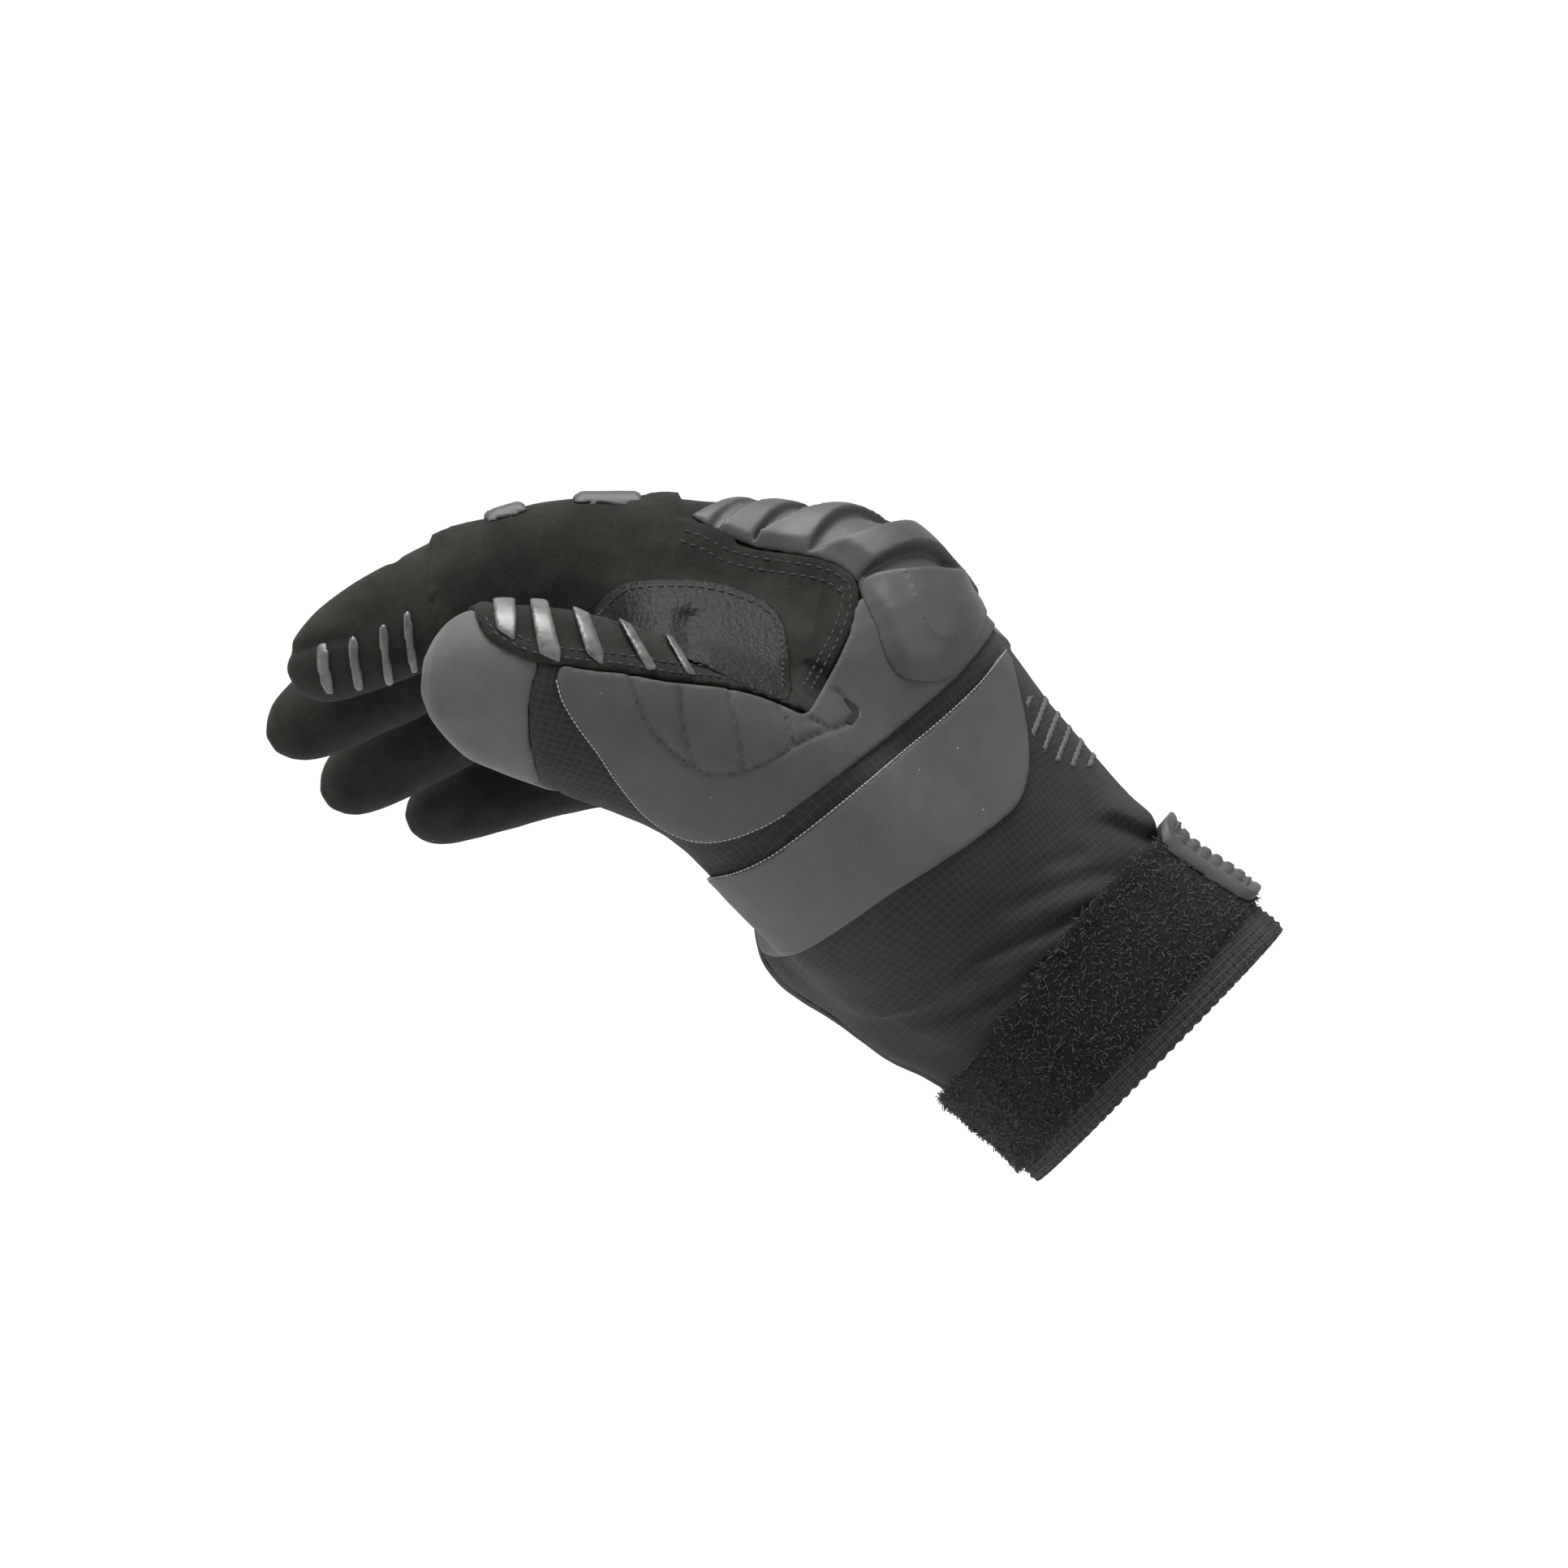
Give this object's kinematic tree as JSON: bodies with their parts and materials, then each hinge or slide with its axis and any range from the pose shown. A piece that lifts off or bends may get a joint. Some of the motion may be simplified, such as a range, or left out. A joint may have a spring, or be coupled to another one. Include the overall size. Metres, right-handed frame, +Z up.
{
  "type": "mechanic glove",
  "caption": "Right-hand mechanic's work glove in its worn, loosely gripping shape: suede palm, ripstop back, moulded knuckle and finger guards, wrist strap and knit cuff.",
  "frame": {"origin": "centre of the wrist opening, where a wrist holds the glove up", "axes": "+Z up and +Y away from the thumb side's viewer, as worn: the fingers point to -X and a little down, the back of the hand faces up and to +X"},
  "size_m": [0.1943, 0.1317, 0.1334],
  "materials": {
    "suede": "matt napped synthetic suede",
    "ripstop": "matt ripstop weave",
    "knit": "smooth grey knit",
    "coated_cloth": "matt grey rubberised cloth",
    "grained_patch": "coarse shiny grain",
    "silicone": "printed grey silicone",
    "loop_strap": "fuzzy loop pile",
    "ribbed_knit": "ribbed elastic knit",
    "guard_rubber": "satin moulded rubber"
  },
  "bodies": {
    "root": {"back_panel": "ripstop", "palm_panel": "suede", "index_back": "ripstop", "index_palm_side": "suede", "middle_back": "ripstop", "middle_palm_side": "suede", "ring_back": "ripstop", "ring_palm_side": "suede", "little_back": "ripstop", "little_palm_side": "suede", "thumb_palm_side": "suede", "thumb_back": "ripstop", "thumb_cap": "knit", "side_panel": "coated_cloth", "band_panel": "coated_cloth", "saddle_patch": "grained_patch", "knuckle_guard": "guard_rubber", "index_guard_proximal": "guard_rubber", "index_guard_middle": "guard_rubber", "middle_guard_proximal": "guard_rubber", "middle_guard_middle": "guard_rubber", "ring_guard_proximal": "guard_rubber", "ring_guard_middle": "guard_rubber", "little_guard_proximal": "guard_rubber", "little_guard_middle": "guard_rubber", "index_grip_bar_1": "silicone", "index_grip_bar_2": "silicone", "index_grip_bar_3": "silicone", "index_grip_bar_4": "silicone", "thumb_grip_bar_1": "silicone", "thumb_grip_bar_2": "silicone", "thumb_grip_bar_3": "silicone", "thumb_grip_bar_4": "silicone", "thumb_grip_bar_5": "silicone", "strap": "loop_strap", "pull_tab": "guard_rubber", "cuff_binding": "ribbed_knit"}
  },
  "joints": []
}
